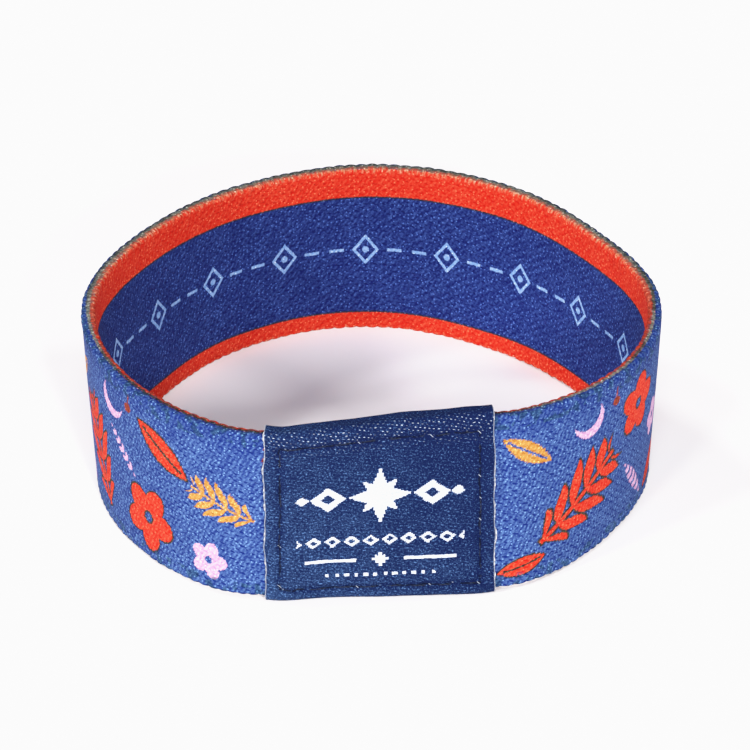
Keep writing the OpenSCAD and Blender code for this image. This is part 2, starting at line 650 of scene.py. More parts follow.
@dataclass(frozen=True)
class Weave:
    """Courses of slanted strands, with pits on a half-stepped lattice between them.

    Args:
        strand: pitch of the strands along a course, mm.
        course: height of a course, mm.
        slant: how far a strand leans over a course, as a share of the pitch.
        wander: how far the threads stray, mm.
        pit: half of a pit's length, mm.
    """

    strand: float = 0.52
    course: float = 0.8
    slant: float = 1.0
    wander: float = 0.12
    pit: float = 0.17

    def threads(self, nodes: Nodes, station: Value, girth: Value) -> Threads:
        """The threads at a place.

        Each strand is a cell of its course, sheared by the slant. A pit is an ellipse at each point
        of the lattice, of random size, and the place is first moved by soft noise.

        Args:
            nodes: the material's nodes.
            station: along the cloth, mm.
            girth: across the cloth, mm.

        Returns:
            Strands, pits and fibres.
        """
        stray_along = nodes.noise(nodes.join(station, girth), 2.0, 3.0, 0.7) - 0.5
        stray_across = nodes.noise(nodes.join(girth, station), 2.0, 3.0, 0.7) - 0.5
        x = station + stray_along * (2 * self.wander)
        y = (girth + stray_across * (2 * self.wander)) / self.course
        row = y.floor()
        along = x / self.strand - (y.part() - 0.5) * self.slant + row * 0.37
        chance = nodes.dice(nodes.join(along.floor(), row))
        ridge = 1.0 - abs(along.part() - 0.5) * 2.0
        line = (y * 2.0 + 0.5).floor()
        rise = (y * 2.0 - line) * (self.course / 2)
        pair = x / (2 * self.strand) + line * 0.5
        column = (pair + 0.5).floor()
        run = (pair - column) * (2 * self.strand)
        luck = nodes.dice(nodes.join(column + 0.5, line))
        coarse = (line * 0.5).part() < 0.25
        away = nodes.length(run + rise * 1.2, rise * 2.0) / (luck * 0.8 + coarse * 0.3 + 0.4)
        pit = away.within(self.pit, self.pit * 0.5)
        fibre = nodes.noise(nodes.join(along, y * 0.8), 2.2, 3.0, 0.7)
        return Threads(ridge, pit, chance, fibre)


class Motif(Enum):
    """The kinds of motif in the print."""

    SPRIG = "sprig"
    FLOWER = "flower"
    LEAF = "leaf"
    FEATHER = "feather"
    CRESCENT = "crescent"
    BERRY = "berry"


@dataclass(frozen=True)
class Stamp:
    """One printed motif.

    Args:
        motif: its kind.
        ink: its colour.
        station: along the print's repeat, mm.
        up: above mid-width, mm.
        size: half of its length, mm.
        turn: degrees from the band's length.
    """

    motif: Motif
    ink: Ink
    station: float
    up: float
    size: float
    turn: float

    def measure(self, nodes: Nodes, place: Value) -> tuple[Value, Value]:
        """Turns a place into the motif's own axes.

        Args:
            nodes: the material's nodes.
            place: station in the repeat and height above mid-width, mm.

        Returns:
            The place in the motif's half lengths, and its distance from the motif's middle.
        """
        axes = {
            "Vector": place,
            "Location": (self.station, self.up, 0.0),
            "Rotation": (0.0, 0.0, math.radians(self.turn)),
            "Scale": (self.size, self.size, 1.0),
        }
        here = nodes.add("Mapping", {"vector_type": "TEXTURE"}, axes)
        return here, nodes.add("VectorMath", {"operation": "LENGTH"}, [here], output=1)


PRINT_REPEAT = 88.5
STAMPS = (
    Stamp(Motif.SPRIG, RED, 21.4, -2.2, 6.4, 32),
    Stamp(Motif.FLOWER, RED, 31.4, 4.2, 3.5, 10),
    Stamp(Motif.LEAF, MUSTARD, 15.0, 5.2, 3.2, -32),
    Stamp(Motif.CRESCENT, PINK, 22.6, 6.3, 2.0, 115),
    Stamp(Motif.FEATHER, PINK, 32.0, -5.0, 4.0, -48),
    Stamp(Motif.BERRY, RUST, 26.6, 7.2, 1.0, 0),
    Stamp(Motif.FLOWER, PINK, 37.6, -0.6, 2.2, 30),
    Stamp(Motif.SPRIG, MUSTARD, 41.8, 4.6, 3.6, -60),
    Stamp(Motif.LEAF, RED, 38.6, -6.4, 3.2, 35),
    Stamp(Motif.LEAF, RED, 14.2, -7.4, 2.6, 12),
    Stamp(Motif.BERRY, RUST, 43.6, -3.2, 1.0, 20),
    Stamp(Motif.SPRIG, RED, 52.2, -2.0, 6.0, 112),
    Stamp(Motif.FLOWER, RED, 62.6, -4.6, 3.8, -12),
    Stamp(Motif.CRESCENT, PINK, 56.8, 6.4, 2.0, 60),
    Stamp(Motif.FEATHER, PINK, 58.4, 1.2, 3.1, -42),
    Stamp(Motif.LEAF, RED, 65.2, 4.4, 4.0, -32),
    Stamp(Motif.SPRIG, MUSTARD, 72.6, 0.6, 3.9, 160),
    Stamp(Motif.FLOWER, PINK, 71.0, -6.2, 2.2, 0),
    Stamp(Motif.BERRY, RUST, 60.0, 7.3, 1.0, -10),
    Stamp(Motif.LEAF, MUSTARD, 47.0, 5.0, 2.6, 40),
    Stamp(Motif.FLOWER, RED, 84.2, 3.6, 3.4, 40),
    Stamp(Motif.FEATHER, PINK, 79.6, -4.0, 3.6, 60),
    Stamp(Motif.CRESCENT, PINK, 6.4, 4.4, 1.9, -30),
    Stamp(Motif.SPRIG, RED, 4.2, -3.6, 5.2, 10),
    Stamp(Motif.BERRY, RUST, 77.4, 7.0, 1.0, 10),
    Stamp(Motif.CRESCENT, PINK, 45.8, -7.0, 1.8, 200),
)


@dataclass(frozen=True)
class PrintedCloth:
    """The elastic's finish: prints outside, striped field inside and thread-wrapped edges.

    Args:
        outline: the elastic's section.
        weave: its threads.
        motif_line: width of the dark line round the red motifs, mm.
        upper_stripe: height of the stripe along the inside's upper edge, mm.
        lower_stripe: height of the one along its lower edge, mm.
        stripe_line: width of the dark line along them, mm.
        mark_pitch: from lozenge to lozenge, mm.
        twill: the inside's faint slanted lines, in a mm along and in a mm across.
        rim_reach: how far down the face the woven edges reach, mm.
        fray: how far their threads' ends stray, mm.
        paint_inside: how much of the colours is left inside, under lamps that whiten the floor.
        paint_outside: the same outside.
    """

    outline: Outline
    weave: Weave = Weave()
    motif_line: float = 0.22
    upper_stripe: float = 3.2
    lower_stripe: float = 2.0
    stripe_line: float = 0.1
    mark_pitch: float = 9.2
    twill: tuple[float, float] = (0.69, 1.25)
    rim_reach: float = 1.2
    fray: float = 0.45
    paint_inside: float = 0.65
    paint_outside: float = 0.72

    def distance(self, nodes: Nodes, motif: Motif, x: Value, y: Value) -> Value:
        """How far outside a motif of half length 1 a place is, negative inside.

        Args:
            nodes: the material's nodes.
            motif: its kind.
            x: along the motif.
            y: across it.

        Returns:
            About the distance, in the motif's half lengths.
        """
        if motif is Motif.SPRIG:
            side = abs(y)
            cell = 0.36
            leaf_place = ((x - side * 0.9) / cell).part() - 0.5
            reach = 0.62 - abs(x - side * 0.9 + 0.1) * 0.3
            leaf = abs(leaf_place) * cell - (side / reach * math.pi).sine() * 0.15
            leaf = leaf.most(side - reach).most(abs(x - side * 0.9 + 0.05) - 0.86)
            stem = (side - 0.035).most(abs(x) - 0.95)
            return leaf.least(stem)
        radius = nodes.length(x, y)
        if motif is Motif.FLOWER:
            petals = abs((y.angle_with(x) * 2.5 + math.pi / 2).sine())
            heart = 0.2 - radius
            return (radius - (petals * 0.36 + 0.62)).most(heart)
        if motif is Motif.LEAF:
            rib = 0.045 - abs(y)
            return (abs(y) - (1.0 - x * x) * 0.34).most(rib.least(0.8 - abs(x)))
        if motif is Motif.FEATHER:
            barbs = 0.1 - abs(((x * 3.2 + abs(y) * 2.2).part() - 0.5) * 0.5)
            return (abs(y) - (1.0 - x * x) * 0.17).most(barbs)
        if motif is Motif.CRESCENT:
            bite = nodes.length(x - 0.5, y)
            return (radius - 1.0).most(0.98 - bite)
        stalk = (abs(x) - 0.1).most(abs(y - 0.75) - 0.55)
        berry = nodes.length(x, y + 0.35)
        return (berry - 0.55).least(stalk)

    def motifs(self, nodes: Nodes, place: Value) -> Ink:
        """Prints each kind of motif over the blue ground, the red ones with a dark line.

        For each kind and ink the nearest stamp is chosen, so that its shape is worked out once.

        Args:
            nodes: the material's nodes.
            place: station in the repeat and height above mid-width, mm.

        Returns:
            The outside face's colours.
        """
        face = BLUE
        groups: dict[tuple[Motif, Ink], list[Stamp]] = {}
        for stamp in STAMPS:
            groups.setdefault((stamp.motif, stamp.ink), []).append(stamp)
        for (motif, ink), stamps in groups.items():
            local, best = stamps[0].measure(nodes, place)
            for stamp in stamps[1:]:
                here, far = stamp.measure(nodes, place)
                local = nodes.choose(far < best, local, here)
                best = far.least(best)
            x, y = nodes.split(local)
            size = sum(stamp.size for stamp in stamps) / len(stamps)
            away = self.distance(nodes, motif, x, y) * size
            if ink is RED:
                face = nodes.over(away.within(self.motif_line, 0.12), face, OLIVE)
            face = nodes.over(away.within(0.0, 0.1), face, ink)
        return face

    def build(self) -> bpy.types.Material:
        """Makes the material."""
        nodes = Nodes("printed_elastic", roughness=0.9, specular=0.12)
        station, girth = nodes.cloth()
        cloth = nodes.join(station, girth)
        threads = self.weave.threads(nodes, station, girth)
        outer = girth < self.outline.top
        outer_up = girth - self.outline.top / 2
        inner_up = self.outline.top * 1.5 - girth
        up = inner_up + (outer_up - inner_up) * outer

        jitter = (threads.fibre - 0.5) * 0.5
        repeat = (station + jitter + PRINT_REPEAT * 3) % PRINT_REPEAT
        outside = self.motifs(nodes, nodes.join(repeat, outer_up + jitter))
        inside = self.inside(nodes, station, inner_up + jitter * 0.5)
        face = self.rim(nodes, station, girth, up, nodes.over(outer, inside, outside))

        grain = nodes.noise(cloth, 3.8, 2.0, 0.6)
        cloud = nodes.noise(cloth, 0.25, 3.0)
        # The tone carries painted shade in the pits between the threads.
        tone = threads.ridge * (outer * 0.08 + 0.2) + threads.chance * 0.14 + threads.fibre * 0.55
        tone = tone + grain * 0.8 + cloud * 0.12 - threads.pit * (outer * 0.38 + 0.26)
        tone = tone + outer * (0.03 - outer_up.ramp(6.0, 9.3) * 0.12) - 0.53
        along, across = self.twill
        twill = (girth * across - station * along + (threads.fibre - 0.5) * 0.7).part()
        tone = tone + (0.5 - abs(twill - 0.5) * 2.0) * (1.0 - outer) * 0.17
        colour = nodes.lit(tone, face)
        # Pale specks: partly pale filaments, partly painted highlights on the threads.
        speck = nodes.specks(cloth, 2.0, 0.075, 0.5)
        colour = nodes.blend(speck * 0.8, colour, face.bright, "SCREEN")

        height = threads.ridge * 0.25 + threads.fibre * 0.8 + threads.chance * 0.2 - threads.pit * 0.6
        # Painted light: the inside face lighter from the front round the right side, fading towards the
        # back, and more so towards its foot.
        painted_light = station.ramp(86.0, 62.0) * (0.15 - up * 0.01) * (1.0 - outer)
        paint = outer * (self.paint_outside - self.paint_inside) + painted_light + self.paint_inside
        return nodes.finish(colour, paint, height, depth_mm=0.07)

    def inside(self, nodes: Nodes, station: Value, up: Value) -> Ink:
        """The inside face: a field between two stripes, with a thin dark line at each, and a row of
        small lozenges and dashes along the field.

        Args:
            nodes: the material's nodes.
            station: along the band, mm.
            up: above mid-width, mm.

        Returns:
            Its colours.
        """
        half = self.outline.half_width + self.outline.corner
        stripe = (up - half + self.upper_stripe).most(self.lower_stripe - half - up)
        line = abs(stripe + self.stripe_line / 2).within(self.stripe_line, 0.1)
        along = (station / self.mark_pitch).part() * self.mark_pitch - self.mark_pitch / 2
        lozenge = abs(abs(along) * 1.2 + abs(up) - 1.55).within(0.24, 0.12)
        dash = abs(abs(along) - 3.2).within(0.8, 0.12) * abs(up).within(0.17, 0.12)
        dot = nodes.length(along, up).within(0.36, 0.14)
        face = nodes.over(lozenge.most(dash).most(dot) * 0.9, NAVY, PALE)
        face = nodes.over(stripe.ramp(-0.05, 0.05), face, RED)
        return nodes.over(line * 0.8, face, OLIVE)

    def rim(self, nodes: Nodes, station: Value, girth: Value, up: Value, face: Ink) -> Ink:
        """The woven edges: from the outside face inwards dark threads, then tan ones and pale strokes
        at the back and rust ones at the front.

        At the back and along the foot the dark threads start sooner, on the outside face, and teal
        smudges lie beside them. Pale fibres show among them, but not at the label's left.

        Args:
            nodes: the material's nodes.
            station: along the band, mm.
            girth: round the section, mm.
            up: above mid-width, mm.
            face: the faces' colours.

        Returns:
            The colours with the edges.
        """
        top = self.outline.top
        near = abs(up) > self.outline.half_width - self.rim_reach
        back = abs(station - PRINT_REPEAT).ramp(50.0, 36.0)
        foot = up < 0.0
        inward = (girth - top) * (1.0 - foot) - ((girth + top) % (2 * top) - top) * foot
        ends = nodes.noise(nodes.join(station, girth * 0.3), 2.6, 3.0, 0.7) - 0.5
        place = inward + ends * self.fray
        smudge = nodes.noise(nodes.join(station, girth), 0.9, 2.0).ramp(0.5, 0.62) * near * (place < 0.5)
        face = nodes.over(smudge * 0.7, face, TEAL)

        stroke = nodes.noise(nodes.join(station, girth * 0.2), 2.4, 2.0, 0.6).ramp(0.44, 0.6)
        rust = near * place.ramp(0.15, 0.3) * place.ramp(1.2, 0.8) * (1.0 - back) * (1.0 - stroke * 0.5)
        face = nodes.over(rust * 0.85, face, RUST)

        worn = place.ramp(-0.45, -0.1) * (stroke * 0.5 + 0.4) * abs(station - 80.0).ramp(68.0, 56.0)
        patch = nodes.noise(nodes.join(station, 3.0), 0.16, 2.0).ramp(0.5, 0.64) * (0.8 - back * 0.4)
        threads = nodes.over(patch, nodes.over(worn, SLATE, ASH), BROWN)
        inner_end = place + back * 0.16
        # Along the foot the dark threads reach further onto the outside face: partly edge threads, partly
        # painted shade where the band meets the floor.
        dark = near * (place + back * 0.4 + foot * 0.6).ramp(-0.15, 0.05) * inner_end.ramp(0.36, 0.18)
        face = nodes.over(dark, face, threads)

        tan = near * inner_end.ramp(0.05, 0.3) * place.ramp(0.75, 0.3) * back * (stroke * 0.4 + 0.5)
        pale = near * place.ramp(0.3, 0.45) * place.ramp(1.1, 0.5) * stroke * back
        return nodes.over(pale * 0.8, nodes.over(tan, face, TAN), CREAM)


@dataclass(frozen=True)
class Seam:
    """The stitched rectangle on the label, front and back.

    Args:
        side: its upright sides' distance from the label's middle, mm.
        top: its upper side above mid-width, mm.
        bottom: its lower side above mid-width, mm.
        pitch: length of a stitch, mm.
    """

    side: float
    top: float
    bottom: float
    pitch: float = 2.4


@dataclass(frozen=True)
class LabelCloth:
    """The label's finish: fine navy twill with a pale woven ornament on the front.

    Args:
        outline: the label's section.
        half_length: half of its length along the loop, mm.
        seam: the stitched rectangle.
        row: height of a row of the twill, mm.
        dash: length of a float, mm.
        fall: how far a row falls in a mm along the loop, mm.
        pixel: width and height of the ornament's steps, mm.
        paint: how much of the colours is left, under lamps that whiten the floor.
        glint: colour of the floats on the fold.
        groove: colour of the line under the stitches.
        needle: colour at the needle holes.
        cut: colour of the cut ends.
    """

    outline: Outline
    half_length: float
    seam: Seam
    row: float = 0.39
    dash: float = 0.46
    fall: float = 0.2
    pixel: tuple[float, float] = (0.17, 0.12)
    paint: float = 0.7
    glint: Colour = linear(220, 230, 244)
    groove: Colour = linear(4, 7, 20)
    needle: Colour = linear(196, 208, 226)
    cut: Colour = linear(170, 176, 190)

    def star(self, x: Value, y: Value, reach: float) -> Value:
        """An eight-pointed star: 1 inside. Its long rays lie along x and y and its short ones between."""
        x, y = abs(x), abs(y)
        straight = (x + y * 2.6).least(x * 2.6 + y)
        most, least = (x + y) * 0.71, abs(x - y) * 0.71
        return straight.least((most + least * 2.6) * 1.25) < reach

    def ornament(self, station: Value, up: Value) -> Value:
        """The pale ornament in four rows, stepped as its threads are.

        Args:
            station: from the label's middle, mm.
            up: above mid-width, mm.

        Returns:
            1 on the ornament.
        """
        wide, high = self.pixel
        x = abs(((station / wide).floor() + 0.5) * wide)
        y = ((up / high).floor() + 0.5) * high
        centre = self.star(x, y - 1.9, 3.2)
        wing = abs(abs(x - 5.2) / 1.9 + abs(y - 1.9) / 1.4 - 0.7) < 0.3
        point = (abs(x - 7.8) / 0.7 + abs(y - 1.9) / 0.55) < 1.0
        chain_cell = abs((x / 1.9).part() - 0.5) * 1.9
        chain = (abs(chain_cell / 0.85 + abs(y + 3.1) / 0.65 - 0.72) < 0.26) * (x < 8.4)
        dash = (abs(y + 5.3) < 0.16) * (abs(x - 4.9) < 2.6)
        small = self.star(x, y + 5.3, 1.0)
        dot = (abs((x / 0.95).part() - 0.5) * 0.95 < 0.2) * (abs(y + 7.0) < 0.15) * (x < 5.6)
        return centre.most(wing).most(point).most(chain).most(dash).most(small).most(dot)

    def build(self) -> bpy.types.Material:
        """Makes the material."""
        nodes = Nodes("label_cloth", roughness=0.85, specular=0.08)
        station, girth = nodes.cloth()
        cloth = nodes.join(station, girth)
        up = girth - self.outline.top / 2
        stray = nodes.noise(cloth, 0.5, 3.0, 0.6) - 0.5
        y = (up + stray * 0.5 + station * self.fall) / self.row
        row = y.floor()
        along = (station + stray * 0.6) / self.dash + row * 0.43
        chance = nodes.dice(nodes.join(along.floor(), row))
        side, rise = abs(along.part() - 0.5), abs(y.part() - 0.5)
        dash = side.within(0.3, 0.3) * rise.within(0.13, 0.3)
        fibre = nodes.noise(nodes.join(station * 0.5, y * self.row), 6.0, 3.0, 0.7)
        cloud = nodes.noise(cloth, 0.35, 2.0)
        flecks = nodes.noise(nodes.join(station, up), 5.5, 2.0, 0.6).ramp(0.5, 0.85)
        away, ticks = self.seam_lines(nodes, station, up)
        tone = dash * (chance * chance * 0.4 + 0.1) + fibre * 0.9 + flecks * 0.75 + cloud * 0.24 - 0.44
        # Painted shade beside the seam, and painted light: lighter towards the label's left cut edge, darker
        # towards its top.
        tone = tone - away.within(0.3, 0.6) * 0.14 - station * 0.008 - up.least(10.0) * 0.007

        colour = nodes.lit(tone, LABEL)
        # Painted highlights: bright floats along the fold over the upper edge, and fainter ones just above
        # the top seam.
        fold = abs(up - 9.2).within(0.9, 0.8) + abs(up - self.seam.top + 0.6).within(0.3, 0.7) * 0.3
        glint = side.within(0.14, 0.16) * rise.within(0.06, 0.12) * chance.ramp(0.1, 0.9) * fold
        colour = nodes.blend(glint.least(1.0), colour, self.glint)
        # Painted shade: a dark line in the seam's groove, under the stitches.
        groove = away.within(0.08, 0.12) * nodes.noise(cloth, 0.7).ramp(0.36, 0.5)
        colour = nodes.blend(groove * 0.8, colour, self.groove)
        colour = nodes.blend(ticks * 0.8, colour, self.needle)
        mark = self.ornament(station + (chance - 0.5) * 0.1, up + (chance - 0.5) * 0.06)
        mark = mark * (up < self.outline.top / 2) * (abs(station) < self.half_length)
        pale = nodes.blend((tone + 0.35).most(0.0), WHITE.deep, WHITE.bright)
        colour = nodes.blend(mark, colour, pale)
        cut = abs(station).ramp(self.half_length - 0.1, self.half_length - 0.02)
        colour = nodes.blend(cut * 0.7, colour, self.cut)
        height = dash * 0.5 + fibre * 0.5 + mark * 0.3 - groove * 0.6
        return nodes.finish(colour, self.paint, height, depth_mm=0.06)

    def seam_lines(self, nodes: Nodes, station: Value, up: Value) -> tuple[Value, Value]:
        """The stitched rectangle: the greater of a place's distances past its sides is 0 on it.

        Args:
            nodes: the material's nodes.
            station: along the label, mm.
            up: above mid-width, mm.

        Returns:
            Distance from it, mm, and 1 on the short light ticks at some of its needle holes.
        """
        seam = self.seam
        waver = (nodes.noise(nodes.join(station, up), 0.6, 2.0) - 0.5) * 0.5
        middle, tall = (seam.top + seam.bottom) / 2, (seam.top - seam.bottom) / 2
        past_side, past_end = abs(station) - seam.side, abs(up - middle) - tall
        away = abs(past_side.most(past_end) + waver)
        hole = ((station + up) / seam.pitch).part() - 0.5
        luck = nodes.dice(nodes.join((station / seam.pitch).floor(), (up / seam.pitch).floor()))
        ticks = away.within(0.12, 0.1) * abs(hole).within(0.015, 0.025) * (luck > 0.5)
        return away, ticks


@dataclass(frozen=True)
class Thread:
    """A yarn's finish: a colour with twisted plies.

    Args:
        name: the material's name.
        ink: its colours between the plies and on them.
        ply: length of a twist, mm.
        paint: how much of the colours is left, under lamps that whiten the floor.
    """

    name: str
    ink: Ink
    ply: float
    paint: float = 0.72

    def build(self) -> bpy.types.Material:
        """Makes the material: plies as slanted bands along the yarn, with fine fibres."""
        nodes = Nodes(self.name, roughness=0.75, specular=0.15)
        along, round_ = nodes.cloth()
        twist = abs((along / self.ply + round_).part() - 0.5) * 2.0
        fibre = nodes.noise(nodes.join(along, round_), 7.0, 2.0, 0.6)
        colour = nodes.blend((twist * 0.6 + fibre * 0.8).ramp(0.2, 1.1), self.ink.deep, self.ink.bright)
        return nodes.finish(colour, self.paint, twist * 0.7 + fibre * 0.3, depth_mm=0.03)


# The pieces


def tube(
    mesh: GridMesh, form: LoopForm, path: np.ndarray, radius: np.ndarray, sides: int, closed: bool
) -> None:
    """Adds a round thread.

    Each ring stands square to the path: its two axes are the cross products of the path's
    direction with the way up, and of the direction with that.

    Args:
        mesh: what to add it to.
        form: the loop, which turns cloth places into points.
        path: steps by 3 of station, out and up, mm.
        radius: the thread's radius at each step, mm.
        sides: points round it.
        closed: the last step joins the first; otherwise the radii end near 0.
    """
    centre = form.place(path[:, 0], path[:, 1], path[:, 2])
    if closed:
        along = np.roll(centre, -1, 0) - np.roll(centre, 1, 0)
    else:
        along = np.gradient(centre, axis=0)
    along /= np.linalg.norm(along, axis=1, keepdims=True)
    outward = centre * [1.0, 1.0, 0.0]
    outward /= np.linalg.norm(outward, axis=1, keepdims=True)
    across = np.cross(along, outward + [0.0, 0.0, 0.01])
    across /= np.linalg.norm(across, axis=1, keepdims=True)
    over = np.cross(across, along)
    turn = np.arange(sides) / sides * 2 * math.pi
    ring = np.cos(turn)[None, :, None] * across[:, None] + np.sin(turn)[None, :, None] * over[:, None]
    points = centre[:, None] + radius[:, None, None] * ring
    steps = np.linalg.norm(np.diff(centre, axis=0, append=centre[:1]), axis=1)
    lengths = np.concatenate([[0], np.cumsum(steps)])[: len(centre) + (1 if closed else 0)]
    uv = np.stack(np.broadcast_arrays(lengths[:, None], np.linspace(0, 1, sides + 1)[None]), -1)
    mesh.add(points, uv, wrap_rows=closed, wrap_columns=True)


@dataclass(frozen=True)
class ElasticBand:
    """The loop of elastic, with scalloped woven edges and a slightly uneven face.

    Args:
        form: the loop's route.
        outline: its section.
        name: the piece's name.
        stations: steps round the loop.
        knots: steps over half of the lower edge, a face, the upper edge, the other face and the rest.
        scallop: length of a scallop, mm.
        scallop_depth: how far it bulges, mm.
        scallop_reach: how far the scallops fade down the faces, mm.
        unevenness: of the faces, mm.
    """

    form: LoopForm
    outline: Outline
    name: str = "elastic_loop"
    stations: int = 1180
    knots: tuple[int, int, int, int, int] = (10, 22, 20, 22, 10)
    scallop: float = 1.2
    scallop_depth: float = 0.16
    scallop_reach: float = 0.35
    unevenness: float = 0.07

    def girths(self) -> np.ndarray:
        """Where the columns run round the section: closer together over the edges."""
        top, edge = self.outline.top, self.outline.half_thick + self.outline.quarter
        ends = (0, edge, top - edge, top + edge, 2 * top - edge, 2 * top)
        runs = [np.linspace(a, b, n, endpoint=False) for a, b, n in zip(ends, ends[1:], self.knots)]
        return np.concatenate([*runs, [2 * top]])

    def build(self) -> bpy.types.Object:
        """Makes the mesh: the outline swept round the loop and moved along its normals.

        The edges bulge by a run of humps of uneven height, and the faces wave a little along
        the loop and differently up the width.
        """
        girth = self.girths()
        station = np.linspace(0, self.form.girth, self.stations + 1)
        uv = np.stack(np.broadcast_arrays(station[:, None], girth[None]), -1)
        s, g = station[:-1, None], girth[None, :-1]
        out, up, normal_out, normal_up = self.outline.at(g)
        count = round(self.form.girth / self.scallop)
        place = s / self.form.girth * count + 0.22 * value_noise(s / 5, 11, 36)
        half = np.abs(np.sin(math.pi * place)) ** 0.7
        height = 0.7 + 0.3 * value_noise(np.floor(place) + 0.5, 12, count)
        past = np.abs(up) - self.outline.half_width
        near_edge = eased(np.clip(past / self.scallop_reach + 1, 0, 1))
        bulge = self.scallop_depth * near_edge * (half * height - 0.55)
        turn = s / self.form.girth
        wave = value_noise(turn * 20 + up * 0.08, 13, 20) * 0.6
        wave = wave + value_noise(turn * 40 - up * 0.15, 14, 40) * 0.4
        lift = bulge + self.unevenness * wave * (1 - near_edge)
        points = self.form.place(s, out + normal_out * lift, up + normal_up * lift)
        mesh = GridMesh(self.name)
        mesh.add(points, uv, wrap_rows=True, wrap_columns=True)
        return mesh.build()


@dataclass(frozen=True)
class WovenLabel:
    """The label's sleeve, with stitched-in grooves, puckers between them and wavy cut edges.

    Args:
        form: the loop's route.
        outline: the section of its outside.
        seam: the stitched rectangle.
        name: the piece's name.
        steps: along the outside.
        columns: round the section.
        thick: thickness of the cloth, mm.
        groove: how deep the seam pulls it in, mm.
        groove_reach: half of the grooves' width, mm.
        edge_wave: how far the cut edges stray along the loop, mm.
        edge_flare: how far they stray outwards, mm.
        inside_steps: along the inside.
        cut_depths: of the three rows over a cut edge, from the outside, mm.
        cut_swell: how far those rows stand out past the edge, mm.
    """

    form: LoopForm
    outline: Outline
    seam: Seam
    name: str = "label_sleeve"
    steps: int = 156
    columns: int = 288
    thick: float = 0.42
    groove: float = 0.2
    groove_reach: float = 0.55
    edge_wave: float = 0.16
    edge_flare: float = 0.1
    inside_steps: int = 14
    cut_depths: tuple[float, float, float] = (0.06, 0.21, 0.37)
    cut_swell: tuple[float, float, float] = (0.01, 0.03, 0.02)

    def groove_at(self, station: np.ndarray, up: np.ndarray) -> np.ndarray:
        """How deep the seam pulls the cloth in: a hump across each side of the stitched rectangle,
        deepest at the needle holes.

        Args:
            station: along the label, mm.
            up: above mid-width, mm.

        Returns:
            The depth, mm.
        """
        seam, reach = self.seam, self.groove_reach
        tall = (up > seam.bottom - 0.3) & (up < seam.top + 0.3)
        wide = np.abs(station) < seam.side + 0.3
        upright = bump_at(np.abs(station), seam.side, reach) * tall
        level = np.maximum(bump_at(up, seam.top, reach), bump_at(up, seam.bottom, reach)) * wide
        holes_up = 0.65 + 0.35 * np.cos(2 * math.pi * (up - seam.bottom) / seam.pitch)
        holes_along = 0.65 + 0.35 * np.cos(2 * math.pi * (station + seam.side) / seam.pitch)
        return self.groove * np.maximum(upright * holes_up, level * holes_along)

    def cut_edge(self, share: np.ndarray, station: Number) -> tuple[np.ndarray, np.ndarray]:
        """How far the cut edges stray, by noises that repeat once round the section.

        Args:
            share: the way round the section, from 0 to 1.
            station: negative at the left edge, which strays the other way than the right one.

        Returns:
            The way along the loop and the way out, mm.
        """
        wave = value_noise(share * 18, 21, 18) * 0.6 + value_noise(share * 46, 22, 46) * 0.4
        along = self.edge_wave * wave * np.where(station < 0, 1.0, -0.8)
        return along, self.edge_flare * value_noise(share * 20, 25, 20)

    def build(self) -> bpy.types.Object:
        """Makes the mesh: the outline swept along the outside, over the right cut edge, back along
        the inside and over the left cut edge, and moved along its normals by folds and grooves."""
        half = self.form.label_half
        outside = np.linspace(-half, half, self.steps)
        inside = np.linspace(half, -half, self.inside_steps)
        cut, cut_swell = np.array(self.cut_depths), np.array(self.cut_swell)
        station = np.concatenate([cut * 0 - half, outside, cut * 0 + half, inside])
        depth = np.concatenate([cut[::-1], outside * 0, cut, inside * 0 + self.thick])
        swell = np.concatenate([cut_swell[::-1], outside * 0, cut_swell, inside * 0])
        back = np.append(half - inside, 2 * half) + half + self.thick
        along = np.concatenate([-half - cut[::-1], outside, half + cut, back])
        girth = np.linspace(0, self.outline.total, self.columns + 1)
        uv = np.stack(np.broadcast_arrays(along[:, None], girth[None]), -1)
        s, g = station[:, None], girth[None, :-1]
        share = g / self.outline.total
        out, up, normal_out, normal_up = self.outline.at(g)
        edge_share = np.clip((np.abs(s) - half + 2.2) / 2.2, 0, 1) ** 2
        stray, flare = self.cut_edge(share, s)
        fold = 0.07 * value_noise(s / 3.1 + up * 0.1 + 50, 23, 64)
        fold = fold + 0.05 * value_noise(share * 26 + s * 0.05, 24, 26)
        curl = 0.3 * bump_at(s, half, 1.6) * bump_at(g, self.outline.top - 0.4, 1.6)
        curl = curl + 0.1 * value_noise(s / 1.9 + 30, 26, 64) * bump_at(g, self.outline.top, 1.4)
        outer = depth[:, None] < self.thick / 2
        lift = (fold + edge_share * flare + curl - self.groove_at(s, up)) * outer - depth[:, None]
        place_along = s + edge_share * stray + np.sign(s) * swell[:, None]
        points = self.form.place(place_along, out + normal_out * lift, up + normal_up * lift)
        mesh = GridMesh(self.name)
        mesh.add(points, uv, wrap_rows=True, wrap_columns=True)
        return mesh.build()


